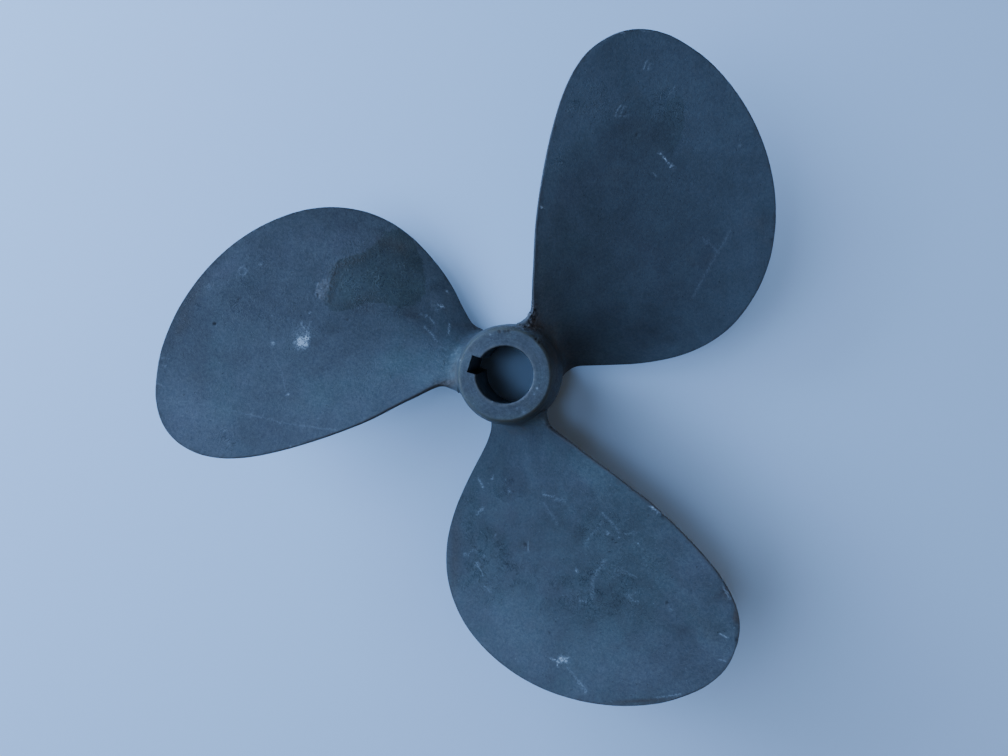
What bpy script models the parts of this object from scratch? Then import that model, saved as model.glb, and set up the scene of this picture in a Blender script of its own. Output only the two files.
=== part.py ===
"""Three-bladed boat propeller: one casting with a tapered bore and a keyway.

Metres. +Z is the shaft axis, towards the aft end, which is up as the propeller lies in the photo.
+X runs from the axis through the middle of the keyway.
The forward hub face lies on the floor, HUB_LENGTH below the aft face.
"""
import bpy
import bmesh
import math

MM = 0.001

# blades
BLADE_COUNT = 3
FIRST_BLADE = math.radians(5.0)      # reference line of the first blade, from the keyway
TIP_RADIUS = 160.0 * MM
PITCH = 225.0 * MM                   # advance in one turn, right-handed
RAKE = math.radians(12.0)            # the blades lean aft
REF_RADIUS = 98.8 * MM
REF_DEPTH = -11.0 * MM               # face height at REF_RADIUS on the reference line, from the aft face

# hub
HUB_LENGTH = 62.0 * MM
HUB_AFT_RADIUS = 21.0 * MM
HUB_MID_RADIUS = 25.2 * MM
HUB_FORWARD_RADIUS = 24.0 * MM
HUB_EDGE_ROUND = 1.0 * MM            # worn outer edge of the aft face

# bore, tapered 1 in 10 on diameter, and its keyway
BORE_AFT_RADIUS = 13.0 * MM
BORE_TAPER = 0.05                    # gain in radius per unit of depth
BORE_CHAMFER = 0.5 * MM
KEY_WIDTH = 8.0 * MM
KEY_DEPTH = 3.7 * MM

# blade thickness
ROOT_THICKNESS = 9.5 * MM            # at the hub
TIP_THICKNESS = 3.2 * MM
EDGE_THICKNESS = 2.2 * MM
ROOT_EDGE_EXTRA = 1.6 * MM           # the edges are this much thicker at the hub
ROOT_FILLET = 6.5 * MM
FILLET_STOP = 0.3 * MM               # the fillet meets the hub here, a little short of tangent
SUNK_START = 3.0 * MM                # the blade bodies begin this far inside the hub wall
FREE_RADIUS = 42.0 * MM              # from here out a section keeps one radius

# origin: this far below the aft face, at the height of the centroid
ORIGIN_DEPTH = 21.0 * MM

# outline of a blade: radius as a share of TIP_RADIUS, then the angle of the
# mid-chord line and the fullness, both in degrees and read off the photo
STATIONS = [
    (0.12, -16.0, 26.0),
    (0.18, -11.7, 31.2),
    (0.25, -8.3, 37.8),
    (0.32, -6.7, 42.8),
    (0.40, -5.6, 47.3),
    (0.50, -4.7, 51.4),
    (0.60, -3.4, 55.3),
    (0.70, -1.3, 59.0),
    (0.80, 1.9, 62.1),
    (0.90, 6.4, 63.9),
    (0.95, 9.3, 64.1),
    (1.00, 12.9, 63.3),
]

HUB_STEPS = 72
CHORD_STEPS = 14
EDGE_STEPS = 4

PITCH_PER_RADIAN = PITCH / (2.0 * math.pi)


def clear_scene():
    for old in list(bpy.data.objects):
        bpy.data.objects.remove(old, do_unlink=True)


def collection(name):
    made = bpy.data.collections.new(name)
    bpy.context.scene.collection.children.link(made)
    return made


def mesh_object(name, group, verts, faces):
    mesh = bpy.data.meshes.new(name)
    mesh.from_pydata(verts, [], faces)
    mesh.update()
    made = bpy.data.objects.new(name, mesh)
    group.objects.link(made)
    return made


def turned(name, group, profile, steps):
    """Body of revolution about Z from (radius, height) points that start and end on the axis."""
    verts = [(radius, 0.0, height) for radius, height in profile]
    edges = [(i, i + 1) for i in range(len(verts) - 1)]
    mesh = bpy.data.meshes.new(name)
    mesh.from_pydata(verts, edges, [])
    made = bpy.data.objects.new(name, mesh)
    group.objects.link(made)
    screw = made.modifiers.new("Screw", 'SCREW')
    screw.axis = 'Z'
    screw.angle = 2.0 * math.pi
    screw.steps = steps
    screw.render_steps = steps
    screw.use_merge_vertices = True
    screw.merge_threshold = 0.00002
    screw.use_smooth_shade = True
    return made


def boolean(target, cutter, operation):
    mod = target.modifiers.new(operation.title() + " " + cutter.name, 'BOOLEAN')
    mod.operation = operation
    mod.solver = 'EXACT'
    mod.object = cutter
    cutter.hide_render = True
    cutter.display_type = 'WIRE'


def hub_radius(depth):
    """Outside radius of the hub at a depth below the aft face; two curves meet at the widest ring."""
    widest = 0.55 * HUB_LENGTH
    if depth < widest:
        share = (widest - depth) / widest
        return HUB_MID_RADIUS - (HUB_MID_RADIUS - HUB_AFT_RADIUS) * share ** 2.4
    share = (depth - widest) / (HUB_LENGTH - widest)
    return HUB_MID_RADIUS - (HUB_MID_RADIUS - HUB_FORWARD_RADIUS) * share ** 2


def hub_profile():
    points = [(0.0, 0.0)]
    turn = HUB_EDGE_ROUND
    for i in range(5):
        a = math.radians(90.0 - 18.0 * i)
        points.append((HUB_AFT_RADIUS - turn + turn * math.cos(a), -turn + turn * math.sin(a)))
    for i in range(13):
        depth = turn + (HUB_LENGTH - 2.0 * turn) * i / 12
        points.append((hub_radius(depth), -depth))
    turn = 1.0 * MM
    points.append((hub_radius(HUB_LENGTH - turn), -HUB_LENGTH + turn))
    points.append((HUB_FORWARD_RADIUS - turn, -HUB_LENGTH))
    points.append((0.0, -HUB_LENGTH))
    return [(radius, height + ORIGIN_DEPTH) for radius, height in points]


def bore_profile():
    over = 3.0 * MM
    c = BORE_CHAMFER
    forward = BORE_AFT_RADIUS + BORE_TAPER * HUB_LENGTH
    points = [
        (0.0, over),
        (BORE_AFT_RADIUS + c + over, over),
        (BORE_AFT_RADIUS + BORE_TAPER * c, -c),
        (forward - BORE_TAPER * c, -HUB_LENGTH + c),
        (forward + c + over, -HUB_LENGTH - over),
        (0.0, -HUB_LENGTH - over),
    ]
    return [(radius, height + ORIGIN_DEPTH) for radius, height in points]


def smooth_through(points, x):
    """Value at x of the smooth curve through the points (Catmull-Rom slopes, uneven spacing)."""
    last = len(points) - 1
    k = 0
    while k < last - 1 and x > points[k + 1][0]:
        k += 1

    def slope(i):
        a = points[max(i - 1, 0)]
        b = points[min(i + 1, last)]
        return (b[1] - a[1]) / (b[0] - a[0])

    x0, y0 = points[k]
    x1, y1 = points[k + 1]
    span = x1 - x0
    t = (x - x0) / span
    m0 = slope(k) * span
    m1 = slope(k + 1) * span
    return ((2 * t ** 3 - 3 * t ** 2 + 1) * y0 + (t ** 3 - 2 * t ** 2 + t) * m0
            + (3 * t ** 2 - 2 * t ** 3) * y1 + (t ** 3 - t ** 2) * m1)


MID_LINE = [(u, mid) for u, mid, full in STATIONS]
FULLNESS = [(u, full) for u, mid, full in STATIONS]


def edge_angles(radius):
    """Angles of the leading and the trailing edge at a radius, from the blade's reference line."""
    u = radius / TIP_RADIUS
    mid = smooth_through(MID_LINE, u)
    half = smooth_through(FULLNESS, u) * math.sqrt(max(1.0 - u, 0.0))
    return math.radians(mid - half), math.radians(mid + half)


def face_height(radius, angle):
    """Height of the pressure face, before ORIGIN_DEPTH is added."""
    return REF_DEPTH + PITCH_PER_RADIAN * angle + math.tan(RAKE) * (radius - REF_RADIUS)


def hub_gap(radius, height):
    """Distance out from the hub surface at a height, negative inside it."""
    return radius - hub_radius(min(max(-height, 0.0), HUB_LENGTH))


def fillet_growth(radius, height):
    """How far the blade surface moves out to run into the hub as a quarter circle."""
    gap = hub_gap(radius, height) + FILLET_STOP
    reach = ROOT_FILLET - min(max(gap, 0.0), ROOT_FILLET)
    return ROOT_FILLET - math.sqrt(ROOT_FILLET ** 2 - reach ** 2)


def section_point(radius, station):
    """Angle and height of one point of the closed section at a radius.

    Stations run along the face, round the trailing edge, back along the back and round the leading edge.
    """
    lead, trail = edge_angles(radius)
    pitch_angle = math.atan2(PITCH_PER_RADIAN, radius)
    cosine, sine = math.cos(pitch_angle), math.sin(pitch_angle)
    chord = (trail - lead) * radius / cosine

    share = max((radius - HUB_MID_RADIUS) / (TIP_RADIUS - HUB_MID_RADIUS), 0.0)
    middle = ROOT_THICKNESS + (TIP_THICKNESS - ROOT_THICKNESS) * share
    edge = EDGE_THICKNESS + ROOT_EDGE_EXTRA * (1.0 - share) ** 3
    half = 0.5 * edge
    round_edge = min(half, 0.25 * chord)

    def place(along, off):
        angle = lead + (along * cosine - off * sine) / radius
        height = face_height(radius, lead) + along * sine + off * cosine
        return angle, height

    def grow(along):
        return fillet_growth(radius, place(along, 0.0)[1])

    span = chord - 2.0 * round_edge
    back_start = CHORD_STEPS + EDGE_STEPS
    if station <= CHORD_STEPS:
        along = round_edge + span * station / CHORD_STEPS
        off = grow(along)
    elif station < back_start:
        a = math.radians(90.0 - 180.0 * (station - CHORD_STEPS) / EDGE_STEPS)
        g = grow(chord)
        along = chord - round_edge + (round_edge + g) * math.cos(a)
        off = -half + (half + g) * math.sin(a)
    elif station <= back_start + CHORD_STEPS:
        s = 1.0 - (station - back_start) / CHORD_STEPS
        along = round_edge + span * s
        off = -edge - (middle - edge) * 4.0 * s * (1.0 - s) - grow(along)
    else:
        a = math.radians(-90.0 - 180.0 * (station - back_start - CHORD_STEPS) / EDGE_STEPS)
        g = grow(0.0)
        along = round_edge + (round_edge + g) * math.cos(a)
        off = -half + (half + g) * math.sin(a)

    # the outer edge of the tip is rounded like the side edges
    left = max(TIP_RADIUS - radius, 0.0)
    if left < half:
        off = -half + (off + half) * math.sqrt(1.0 - (1.0 - left / half) ** 2)
    return place(along, off)


def section(row):
    """Closed ring of points. Near the root the ring follows the hub, so that the fillet meets it evenly."""
    free = min(max((row - HUB_MID_RADIUS) / (FREE_RADIUS - HUB_MID_RADIUS), 0.0), 1.0)
    points = []
    for station in range(2 * (CHORD_STEPS + EDGE_STEPS)):
        radius = row
        for attempt in range(5):
            angle, height = section_point(radius, station)
            follow = row - HUB_MID_RADIUS - hub_gap(radius, height)
            radius += (1.0 - free) * follow - free * (radius - row)
        angle, height = section_point(radius, station)
        points.append((radius, angle, height + ORIGIN_DEPTH))
    return points


def blade_rows():
    """Nominal radii of the sections: close at the root fillet and at the tip."""
    rows = [HUB_MID_RADIUS - SUNK_START]
    for share in (-0.09, 0.06, 0.16, 0.28, 0.44, 0.62, 0.82, 1.0):
        rows.append(HUB_MID_RADIUS + share * ROOT_FILLET)
    start = rows[-1]
    for i in range(1, 19):
        rows.append(start + (TIP_RADIUS - start) * math.sin(math.radians(90.0 * i / 19)))
    rows.append(TIP_RADIUS - 0.25 * MM)
    rows.append(TIP_RADIUS - 0.05 * MM)
    return rows


def blade(name, group, turn):
    verts = []
    faces = []
    rows = blade_rows()
    for row in rows:
        for radius, angle, height in section(row):
            verts.append((radius * math.cos(angle + turn), radius * math.sin(angle + turn), height))
    count = len(verts) // len(rows)
    for j in range(len(rows) - 1):
        for i in range(count):
            a = j * count + i
            b = j * count + (i + 1) % count
            faces.append((a, b, b + count, a + count))
    faces.append(tuple(range(count - 1, -1, -1)))
    faces.append(tuple(range((len(rows) - 1) * count, len(rows) * count)))
    made = mesh_object(name, group, verts, faces)
    bm = bmesh.new()
    bm.from_mesh(made.data)
    bmesh.ops.triangulate(bm, faces=[f for f in bm.faces if len(f.verts) > 4])
    bmesh.ops.recalc_face_normals(bm, faces=bm.faces)
    bm.to_mesh(made.data)
    bm.free()
    made.data.shade_smooth()
    return made


def bronze():
    made = bpy.data.materials.new("weathered bronze")
    made.use_nodes = True
    shader = made.node_tree.nodes["Principled BSDF"]
    shader.inputs["Base Color"].default_value = (0.075, 0.095, 0.105, 1.0)
    shader.inputs["Metallic"].default_value = 0.4
    shader.inputs["Roughness"].default_value = 0.6
    return made


clear_scene()
parts = collection("ship_propeller")
cutters = collection("cutters")

propeller = turned("propeller", parts, hub_profile(), HUB_STEPS)
propeller.data.materials.append(bronze())
for number in range(BLADE_COUNT):
    turn = FIRST_BLADE + 2.0 * math.pi * number / BLADE_COUNT
    boolean(propeller, blade("blade_%d" % (number + 1), cutters, turn), 'UNION')

boolean(propeller, turned("bore_cutter", cutters, bore_profile(), HUB_STEPS), 'DIFFERENCE')

# the keyway floor runs along the taper, so the cutter leans with the bore wall
bpy.ops.mesh.primitive_cube_add(size=1.0)
keyway = bpy.context.object
keyway.name = "keyway_cutter"
for old in list(keyway.users_collection):
    old.objects.unlink(keyway)
cutters.objects.link(keyway)
lean = math.atan(BORE_TAPER)
reach = 16.0 * MM
middle_radius = BORE_AFT_RADIUS + BORE_TAPER * 0.5 * HUB_LENGTH + KEY_DEPTH
keyway.scale = (reach, KEY_WIDTH, HUB_LENGTH + 12.0 * MM)
keyway.rotation_euler = (0.0, -lean, 0.0)
keyway.location = (middle_radius - 0.5 * reach * math.cos(lean), 0.0,
                   ORIGIN_DEPTH - 0.5 * HUB_LENGTH - 0.5 * reach * math.sin(lean))
boolean(propeller, keyway, 'DIFFERENCE')
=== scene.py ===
"""Ship propeller, dressed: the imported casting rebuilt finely, weathered and lit as in the photo.

Metres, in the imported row's frame: +Z along the shaft towards the aft end, +X through the keyway.
Marks are listed where they show in the 1008 x 756 photo, and the camera carries them onto the blades.
"""

import math

import bmesh
import bpy
import numpy as np
from mathutils import Matrix, Vector, kdtree, noise


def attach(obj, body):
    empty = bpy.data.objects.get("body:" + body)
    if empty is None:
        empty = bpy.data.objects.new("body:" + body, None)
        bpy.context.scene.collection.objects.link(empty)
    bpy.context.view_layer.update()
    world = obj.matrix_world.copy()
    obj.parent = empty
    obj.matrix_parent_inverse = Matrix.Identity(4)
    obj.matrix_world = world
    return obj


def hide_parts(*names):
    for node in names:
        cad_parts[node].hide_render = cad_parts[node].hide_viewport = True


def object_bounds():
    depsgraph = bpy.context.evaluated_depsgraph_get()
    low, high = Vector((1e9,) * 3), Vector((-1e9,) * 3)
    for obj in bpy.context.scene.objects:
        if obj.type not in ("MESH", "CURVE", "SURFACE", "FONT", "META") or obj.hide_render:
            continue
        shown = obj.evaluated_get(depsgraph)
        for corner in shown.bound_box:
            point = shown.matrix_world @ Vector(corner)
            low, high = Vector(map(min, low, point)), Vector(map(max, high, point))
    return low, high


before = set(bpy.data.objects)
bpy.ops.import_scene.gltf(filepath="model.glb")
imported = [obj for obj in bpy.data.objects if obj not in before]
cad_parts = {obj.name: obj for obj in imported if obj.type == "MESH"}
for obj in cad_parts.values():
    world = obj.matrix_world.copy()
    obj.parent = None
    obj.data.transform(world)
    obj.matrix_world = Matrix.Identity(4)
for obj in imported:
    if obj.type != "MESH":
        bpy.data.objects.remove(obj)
cad_low, cad_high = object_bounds()

MM = 0.001

# driving sizes of the casting, the same as in the part's source
BLADE_COUNT = 3
FIRST_BLADE = math.radians(5.0)      # reference line of the first blade, from the keyway
TIP_RADIUS = 160.0 * MM
PITCH = 225.0 * MM
RAKE = math.radians(12.0)
REF_RADIUS = 98.8 * MM
REF_DEPTH = -11.0 * MM         # face height at REF_RADIUS on the reference line, from the aft face
HUB_LENGTH = 62.0 * MM
HUB_AFT_RADIUS = 21.0 * MM
HUB_MID_RADIUS = 25.2 * MM
HUB_FORWARD_RADIUS = 24.0 * MM
HUB_WIDEST = 0.55              # share of its length from the aft face
HUB_AFT_CURVE = 2.4
HUB_EDGE_ROUND = 1.0 * MM
BORE_AFT_RADIUS = 13.0 * MM
BORE_TAPER = 0.05
BORE_CHAMFER = 0.5 * MM
KEY_WIDTH = 8.0 * MM
KEY_DEPTH = 3.7 * MM
ROOT_THICKNESS = 9.5 * MM
TIP_THICKNESS = 3.2 * MM
ROOT_FILLET = 6.5 * MM
SUNK_START = 3.0 * MM          # the blades begin this far inside the hub
FREE_RADIUS = 42.0 * MM        # from here out a section keeps one radius
ORIGIN_DEPTH = 21.0 * MM
PITCH_PER_RADIAN = PITCH / (2.0 * math.pi)
# radius as a share of the tip's, then the angle of the blade's middle line and its fullness in degrees
STATIONS = [
    (0.12, -16.0, 26.0),
    (0.18, -11.7, 31.2),
    (0.25, -8.3, 37.8),
    (0.32, -6.7, 42.8),
    (0.40, -5.6, 47.3),
    (0.50, -4.7, 51.4),
    (0.60, -3.4, 55.3),
    (0.70, -1.3, 59.0),
    (0.80, 1.9, 62.1),
    (0.90, 6.4, 63.9),
    (0.95, 9.3, 64.1),
    (1.00, 12.9, 63.3),
]
MID_LINE = [(u, mid) for u, mid, full in STATIONS]
FULLNESS = [(u, full) for u, mid, full in STATIONS]

# where this casting is truer to the photo than the part's source, or more finely made
EDGE_THICKNESS = 1.5 * MM
ROOT_EDGE_EXTRA = 1.9 * MM     # how much thicker the edges are at the hub
ROOT_EDGE_FADE = 14            # power with which that fades
EDGE_FILLET = 10.0 * MM        # at the two ends of a blade's root
TRAIL_STRETCH = 1.6            # how much farther those reach round the hub
LEAD_STRETCH = 1.05
FILLET_STOP = 0.08 * MM        # the fillets meet the hub here, a little short of tangent
MOUTH_ROUND = 0.8 * MM         # of the bore at the aft face
CUT_OVER = 3.0 * MM            # how far the bore cutter runs past the faces
TIP_SHARE = 0.06               # of the radius, where the edge shifts fade out
# how far each blade's leading and trailing edges stand out: radius and shift in millimetres
EDGE_SHIFTS = [
    ([(28, -1.0), (34, -2.0), (44, -1.5), (54, -0.5), (70, 0.0), (100, 0.5), (130, 0.5), (150, 0.0)],
     [(28, 2.0), (34, 0.5), (40, 0.0), (54, -0.5), (70, 0.0), (95, 0.5), (130, 0.5), (150, 0.3)]),
    ([(28, 1.0), (34, -0.5), (40, -1.5), (60, -2.0), (85, -1.5), (115, -1.0), (150, 0.0)],
     [(28, 1.0), (40, 0.0), (60, -1.0), (75, -0.5), (85, 0.5), (115, 1.0), (140, 1.8), (146, 1.8),
      (150, 1.2), (155, 0.4), (160, 0.0)]),
    ([(28, 1.5), (34, 1.0), (70, 1.0), (85, 1.0), (105, 0.5), (120, -0.5), (150, 0.0)],
     [(28, 1.0), (34, 0.5), (40, 0.0), (60, -1.0), (80, -0.5), (115, 0.0), (140, 0.7), (150, 0.3)]),
]
# the hub's side is cast a little flat between two blades: bearing, half-width, depth
HUB_FLAT = (math.radians(-66.0), math.radians(25.0), 1.1 * MM)

# how finely it is built here
CHORD_STEPS = 64
EDGE_STEPS = 8
FILLET_ROWS = 16
FREE_ROWS = 80
HUB_STEPS = 168
EDGE_SQUARENESS = 0.55         # 1 is a round edge, 0 a square one
OUTLINE_POINTS = 500           # along each edge, from OUTLINE_START to the tip
OUTLINE_START = 30.0 * MM
# splitting round the marks, which keeps the piece under 200,000 triangles: longest edge, and margin in pixels
FINER = [(1.0 * MM, 3.5), (0.6 * MM, 2.2), (0.4 * MM, 0.8)]

# the photo's camera, worked out from the outlines of the blades
PHOTO_WIDTH = 1008
PHOTO_HEIGHT = 756
FOCAL_PX = 728.0
CENTRE_PX = (507.5, 378.0)
SENSOR_MM = 36.0
CAMERA_DISTANCE = 328.3 * MM      # above the aft hub face
CAMERA_SHIFT = (-1.40 * MM, 1.40 * MM)
CAMERA_ROLL = math.radians(-197.9)
CAMERA_TILT = (math.radians(1.85), math.radians(-5.8))


# camera

def camera_frame():
    """Rotation from the row's frame into the camera's, and the camera's place."""
    tilt = Vector((CAMERA_TILT[0], CAMERA_TILT[1], 0.0))
    turn = Matrix.Rotation(tilt.length, 3, tilt.normalized()) @ Matrix.Rotation(CAMERA_ROLL, 3, 'Z')
    place = turn.transposed() @ Vector((-CAMERA_SHIFT[0], -CAMERA_SHIFT[1], CAMERA_DISTANCE))
    place.z += ORIGIN_DEPTH
    return turn, place


CAMERA_TURN, CAMERA_PLACE = camera_frame()


def to_photo(points):
    """Pixels of an array of points."""
    turned_points = (points - np.array(CAMERA_PLACE)) @ np.array(CAMERA_TURN).T
    depth = -turned_points[:, 2]
    return np.stack([CENTRE_PX[0] + FOCAL_PX * turned_points[:, 0] / depth,
                     CENTRE_PX[1] - FOCAL_PX * turned_points[:, 1] / depth], axis=1)


def blade_angle(x, y):
    """Angle from the reference line of the nearest blade."""
    step = 2.0 * math.pi / BLADE_COUNT
    angle = math.atan2(y, x) - FIRST_BLADE
    return (angle + 0.5 * step) % step - 0.5 * step


# shape of the casting

def hub_radius(depth):
    widest = HUB_WIDEST * HUB_LENGTH
    if depth < widest:
        share = (widest - depth) / widest
        return HUB_MID_RADIUS - (HUB_MID_RADIUS - HUB_AFT_RADIUS) * share ** HUB_AFT_CURVE
    share = (depth - widest) / (HUB_LENGTH - widest)
    return HUB_MID_RADIUS - (HUB_MID_RADIUS - HUB_FORWARD_RADIUS) * share ** 2


def smooth_through(points, x):
    """Value at x of the smooth curve through the points."""
    last = len(points) - 1
    k = 0
    while k < last - 1 and x > points[k + 1][0]:
        k += 1

    def slope(i):
        a = points[max(i - 1, 0)]
        b = points[min(i + 1, last)]
        return (b[1] - a[1]) / (b[0] - a[0])

    x0, y0 = points[k]
    x1, y1 = points[k + 1]
    span = x1 - x0
    t = (x - x0) / span
    m0 = slope(k) * span
    m1 = slope(k + 1) * span
    return ((2 * t ** 3 - 3 * t ** 2 + 1) * y0 + (t ** 3 - 2 * t ** 2 + t) * m0
            + (3 * t ** 2 - 2 * t ** 3) * y1 + (t ** 3 - t ** 2) * m1)


def edge_angles(radius, number):
    """Angles of a blade's leading and trailing edge at a radius, from the blade's reference line."""
    u = radius / TIP_RADIUS
    mid = math.radians(smooth_through(MID_LINE, u))
    half = math.radians(smooth_through(FULLNESS, u)) * math.sqrt(max(1.0 - u, 0.0))
    lead, trail = [edge_shift(points, radius) / radius for points in EDGE_SHIFTS[number]]
    mid += 0.5 * (trail - lead)
    # the two edges still meet at the tip
    half += 0.5 * (trail + lead) * min(math.sqrt(max(1.0 - u, 0.0) / TIP_SHARE), 1.0)
    return mid - half, mid + half


def edge_shift(points, radius):
    held = min(max(radius / MM, points[0][0]), points[-1][0])
    return smooth_through(points, held) * MM


def face_height(radius, angle):
    """Height of the pressure face, from the aft hub face."""
    return REF_DEPTH + PITCH_PER_RADIAN * angle + math.tan(RAKE) * (radius - REF_RADIUS)


def hub_gap(radius, height):
    return radius - hub_radius(min(max(-height, 0.0), HUB_LENGTH))


def fillet_growth(radius, height, size=ROOT_FILLET):
    gap = hub_gap(radius, height) + FILLET_STOP
    reach = size - min(max(gap, 0.0), size)
    return size - math.sqrt(size ** 2 - reach ** 2)


def end_growth(radius, height, rise, stretch):
    """Fillet beyond the end of a section, which climbs or sinks along the hub as it grows."""
    growth = 0.0
    for attempt in range(8):
        wanted = stretch * fillet_growth(radius, height + rise * growth, EDGE_FILLET)
        growth = 0.5 * (growth + wanted)
    return growth


def squarer(value, growth):
    """Sine or cosine of a rounded square for the edges, and of a circle where the fillet grows."""
    power = EDGE_SQUARENESS + (1.0 - EDGE_SQUARENESS) * min(growth / (2.0 * MM), 1.0)
    return math.copysign(abs(value) ** power, value)


def section_point(radius, station, number):
    """Angle and height of one point of a blade's closed section at a radius."""
    lead, trail = edge_angles(radius, number)
    pitch_angle = math.atan2(PITCH_PER_RADIAN, radius)
    cosine, sine = math.cos(pitch_angle), math.sin(pitch_angle)
    chord = (trail - lead) * radius / cosine

    share = max((radius - HUB_MID_RADIUS) / (TIP_RADIUS - HUB_MID_RADIUS), 0.0)
    middle = ROOT_THICKNESS + (TIP_THICKNESS - ROOT_THICKNESS) * share
    edge = EDGE_THICKNESS + ROOT_EDGE_EXTRA * (1.0 - share) ** ROOT_EDGE_FADE
    half = 0.5 * edge
    round_edge = min(half, 0.25 * chord)

    def place(along, off):
        angle = lead + (along * cosine - off * sine) / radius
        height = face_height(radius, lead) + along * sine + off * cosine
        return angle, height

    def grow(along):
        return fillet_growth(radius, place(along, 0.0)[1])

    span = chord - 2.0 * round_edge
    back_start = CHORD_STEPS + EDGE_STEPS
    if station <= CHORD_STEPS:
        along = round_edge + span * station / CHORD_STEPS
        off = grow(along)
    elif station < back_start:
        a = math.radians(90.0 - 180.0 * (station - CHORD_STEPS) / EDGE_STEPS)
        g = grow(chord)
        end = end_growth(radius, place(chord, 0.0)[1], sine, TRAIL_STRETCH)
        along = chord - round_edge + (round_edge + end) * squarer(math.cos(a), g)
        off = -half + (half + g) * squarer(math.sin(a), g)
    elif station <= back_start + CHORD_STEPS:
        s = 1.0 - (station - back_start) / CHORD_STEPS
        along = round_edge + span * s
        off = -edge - (middle - edge) * 4.0 * s * (1.0 - s) - grow(along)
    else:
        a = math.radians(-90.0 - 180.0 * (station - back_start - CHORD_STEPS) / EDGE_STEPS)
        g = grow(0.0)
        end = end_growth(radius, place(0.0, 0.0)[1], -sine, LEAD_STRETCH)
        along = round_edge + (round_edge + end) * squarer(math.cos(a), g)
        off = -half + (half + g) * squarer(math.sin(a), g)

    left = max(TIP_RADIUS - radius, 0.0)
    if left < half:
        off = -half + (off + half) * math.sqrt(1.0 - (1.0 - left / half) ** 2)
    return place(along, off)


def section(row, number):
    """Closed ring of points; near the root the ring follows the hub."""
    free = min(max((row - HUB_MID_RADIUS) / (FREE_RADIUS - HUB_MID_RADIUS), 0.0), 1.0)
    points = []
    for station in range(2 * (CHORD_STEPS + EDGE_STEPS)):
        radius = row
        if free < 1.0:
            for attempt in range(5):
                angle, height = section_point(radius, station, number)
                follow = row - HUB_MID_RADIUS - hub_gap(radius, height)
                radius += (1.0 - free) * follow - free * (radius - row)
        angle, height = section_point(radius, station, number)
        points.append((radius, angle, height + ORIGIN_DEPTH))
    return points


def blade_rows():
    rows = [HUB_MID_RADIUS - SUNK_START, HUB_MID_RADIUS - 0.7 * MM]
    for i in range(FILLET_ROWS + 1):
        rows.append(HUB_MID_RADIUS + EDGE_FILLET * (0.013 + 0.987 * (i / FILLET_ROWS) ** 1.6))
    start = rows[-1]
    for i in range(1, FREE_ROWS):
        # even steps most of the way, closing up at the tip
        share = i / FREE_ROWS
        rows.append(start + (TIP_RADIUS - start) * (0.45 * share + 0.55 * math.sin(0.5 * math.pi * share)))
    for left in (0.5, 0.2, 0.05, 0.01):
        rows.append(TIP_RADIUS - left * MM)
    return sorted(rows)


def loop_faces(ring_count, ring_size):
    faces = []
    for j in range(ring_count - 1):
        for i in range(ring_size):
            a = j * ring_size + i
            b = j * ring_size + (i + 1) % ring_size
            faces.append((a, b, b + ring_size, a + ring_size))
    return faces


def new_object(name, verts, faces):
    mesh = bpy.data.meshes.new(name)
    mesh.from_pydata(verts, [], faces)
    bm = bmesh.new()
    bm.from_mesh(mesh)
    bmesh.ops.triangulate(bm, faces=[f for f in bm.faces if len(f.verts) > 4])
    bmesh.ops.recalc_face_normals(bm, faces=bm.faces)
    bm.to_mesh(mesh)
    bm.free()
    made = bpy.data.objects.new(name, mesh)
    bpy.context.scene.collection.objects.link(made)
    return made


def blade(name, rings, turn):
    verts = [(radius * math.cos(angle + turn), radius * math.sin(angle + turn), height)
             for ring in rings for radius, angle, height in ring]
    size = len(rings[0])
    faces = loop_faces(len(rings), size)
    faces.append(tuple(range(size - 1, -1, -1)))
    faces.append(tuple(range((len(rings) - 1) * size, len(rings) * size)))
    return new_object(name, verts, faces)


def turned(name, profile, steps):
    """Body of revolution from (radius, height) points; the first and the last are on the axis."""
    inner = profile[1:-1]
    verts = []
    for radius, height in inner:
        for i in range(steps):
            a = 2.0 * math.pi * i / steps
            verts.append((radius * math.cos(a), radius * math.sin(a), height))
    faces = loop_faces(len(inner), steps)
    top, bottom = len(verts), len(verts) + 1
    verts += [(0.0, 0.0, profile[0][1]), (0.0, 0.0, profile[-1][1])]
    last = (len(inner) - 1) * steps
    for i in range(steps):
        j = (i + 1) % steps
        faces.append((top, i, j))
        faces.append((bottom, last + j, last + i))
    return new_object(name, verts, faces)


def hub_profile():
    turn = HUB_EDGE_ROUND
    flat = HUB_AFT_RADIUS - turn
    mouth = BORE_AFT_RADIUS + MOUTH_ROUND
    points = [(0.0, 0.0), (BORE_AFT_RADIUS - 2.0 * MM, 0.0)]
    for i in range(6):
        points.append((mouth + (flat - mouth) * i / 6, 0.0))
    for i in range(7):
        a = math.radians(90.0 - 12.0 * i)
        points.append((flat + turn * math.cos(a), -turn + turn * math.sin(a)))
    for i in range(49):
        depth = turn + (HUB_LENGTH - 2.0 * turn) * i / 48
        points.append((hub_radius(depth), -depth))
    for radius in (HUB_FORWARD_RADIUS - turn, 20.0 * MM, 17.5 * MM, 0.0):
        points.append((radius, -HUB_LENGTH))
    return [(radius, height + ORIGIN_DEPTH) for radius, height in points]


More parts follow.
